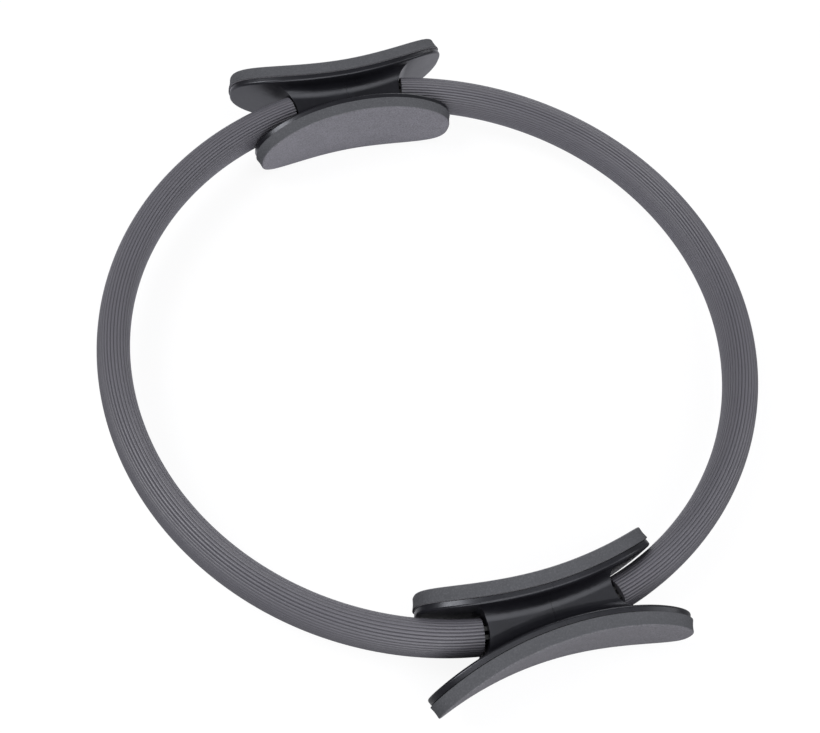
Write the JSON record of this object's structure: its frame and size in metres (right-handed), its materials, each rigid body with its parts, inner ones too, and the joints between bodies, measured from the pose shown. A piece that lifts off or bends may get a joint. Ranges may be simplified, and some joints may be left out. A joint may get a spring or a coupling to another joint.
{
  "type": "pilates ring",
  "caption": "Flexible exercise ring of ribbed oval tube with opposed spool-shaped grips faced inside and out with oval foam pads, pressed between hands, knees or ankles.",
  "frame": {"origin": "centre of the ring, on its axis, at mid-width of the tube", "axes": "+Z along the ring's axis, +Y towards the upper grip, +X along the upper grip"},
  "size_m": [0.3802, 0.4183, 0.0638],
  "materials": {
    "sleeve": "satin ribbed elastomer",
    "leaf": "pultruded fibreglass",
    "housing": "satin moulded",
    "foam": "fine closed-cell foam",
    "plate": "zinc plated",
    "screw": "zinc plated"
  },
  "bodies": {
    "lower_grip": {"lower_left_housing": "housing", "lower_right_housing": "housing", "lower_outer_pad": "foam", "lower_inner_pad": "foam", "lower_splice_plate": "plate", "lower_leaf_screws": "screw", "left_sleeve": "sleeve", "right_sleeve": "sleeve", "left_outer_leaf": "leaf", "left_inner_leaf": "leaf", "right_outer_leaf": "leaf", "right_inner_leaf": "leaf"},
    "upper_grip": {"upper_left_housing": "housing", "upper_right_housing": "housing", "upper_outer_pad": "foam", "upper_inner_pad": "foam", "upper_splice_plate": "plate", "upper_leaf_screws": "screw"}
  },
  "joints": [
    {"name": "squeeze", "type": "slide", "parent": "lower_grip", "child": "upper_grip", "axis": [0, -1, 0], "range_m": [-0.03, 0.09], "stiffness_N_per_m": 1550, "deforming": ["left_sleeve", "right_sleeve", "left_outer_leaf", "left_inner_leaf", "right_outer_leaf", "right_inner_leaf"]}
  ]
}
